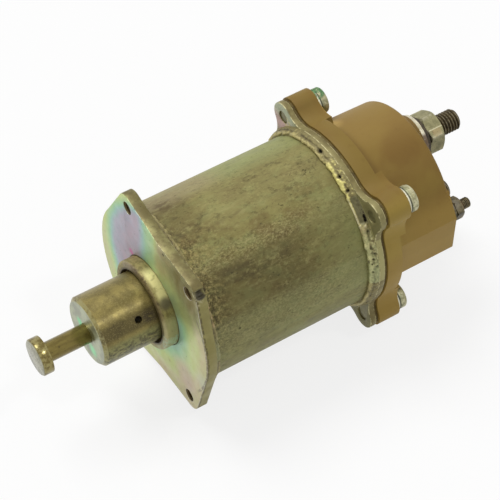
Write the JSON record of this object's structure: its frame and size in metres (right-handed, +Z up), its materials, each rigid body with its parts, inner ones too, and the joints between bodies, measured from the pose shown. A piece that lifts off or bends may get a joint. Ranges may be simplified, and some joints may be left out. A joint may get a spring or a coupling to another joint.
{
  "type": "starter solenoid",
  "caption": "Cylindrical starter solenoid: a sprung plunger with a button-headed pull rod slides in a flanged yoke and closes a contact disc inside a moulded terminal cap.",
  "frame": {"origin": "centre of the pilot collar on the front plate's mounting face", "axes": "+X along the plunger from the mounting face to the terminals; +Z up through the battery terminal; +Y sideways to the earth terminal"},
  "size_m": [0.2124, 0.0862, 0.0954],
  "materials": {
    "yoke_zinc": "yellow chromate zinc over drawn tube, streaked and dull",
    "plate_zinc": "yellow chromate zinc with rainbow tints",
    "weld_metal": "rough zinc-plated weld bead with pores",
    "collar_zinc": "yellow chromate zinc, turned",
    "plunger_zinc": "brassy chromate zinc, turned and soft-shiny",
    "sleeve_brass": "drawn",
    "fibre": "pressed fibre, matt",
    "bobbin_plastic": "moulded, matt",
    "winding_copper": "enamelled copper wire",
    "winding_tape": "varnished cotton tape",
    "core_steel": "turned, oiled",
    "cap_phenolic": "moulded phenolic, satin",
    "gasket_rubber": "matt",
    "screw_zinc": "bright zinc",
    "stud_steel": "dark olive zinc, threaded",
    "nut_zinc": "pale olive zinc",
    "washer_zinc": "bright zinc",
    "control_zinc": "dull brown-grey zinc",
    "spring_steel": "oiled spring wire",
    "contact_copper": "bare copper",
    "insulator": "pressed insulating board",
    "clip_steel": "blackened spring steel"
  },
  "bodies": {
    "housing": {"front_plate": "plate_zinc", "guide_collar": "collar_zinc", "yoke_tube": "yoke_zinc", "front_weld": "weld_metal", "rear_weld": "weld_metal", "rear_flange": "plate_zinc", "guide_sleeve": "sleeve_brass", "front_fibre_washer": "fibre", "bobbin": "bobbin_plastic", "pull_in_winding": "winding_copper", "hold_in_winding": "winding_copper", "winding_tape": "winding_tape", "rear_fibre_washer": "fibre", "fixed_core": "core_steel", "start_lead": "winding_copper", "earth_lead": "winding_copper", "motor_lead": "winding_copper", "cap_gasket": "gasket_rubber", "terminal_cap": "cap_phenolic", "cap_screws": "screw_zinc", "cap_split_washers": "screw_zinc", "battery_terminal": "stud_steel", "motor_terminal": "stud_steel", "main_washers": "washer_zinc", "main_split_washers": "nut_zinc", "main_nuts": "nut_zinc", "start_terminal": "control_zinc", "earth_terminal": "control_zinc", "control_washers": "control_zinc", "control_lock_nuts": "control_zinc", "control_nuts": "control_zinc"},
    "plunger": {"plunger": "plunger_zinc", "pull_rod": "plunger_zinc", "rod_lock_pin": "spring_steel", "plunger_spring": "spring_steel"},
    "contact_bridge": {"contact_rod": "core_steel", "contact_disc": "contact_copper", "contact_bush": "insulator", "contact_washer": "insulator", "pressure_spring": "spring_steel", "rod_clip": "clip_steel", "bridge_spring": "spring_steel"}
  },
  "joints": [
    {"name": "plunger_slide", "type": "slide", "parent": "housing", "child": "plunger", "axis": [1, 0, 0], "range_m": [0, 0.012], "stiffness_N_per_m": 1500, "springref_m": -0.02, "deforming": ["plunger_spring"]},
    {"name": "contact_slide", "type": "slide", "parent": "housing", "child": "contact_bridge", "axis": [1, 0, 0], "range_m": [0, 0.004], "stiffness_N_per_m": 600, "springref_m": -0.01, "deforming": ["bridge_spring"]}
  ],
  "couplings": [
    {"joint": "contact_slide", "follows": "plunger_slide", "ratio": 0.33333}
  ]
}
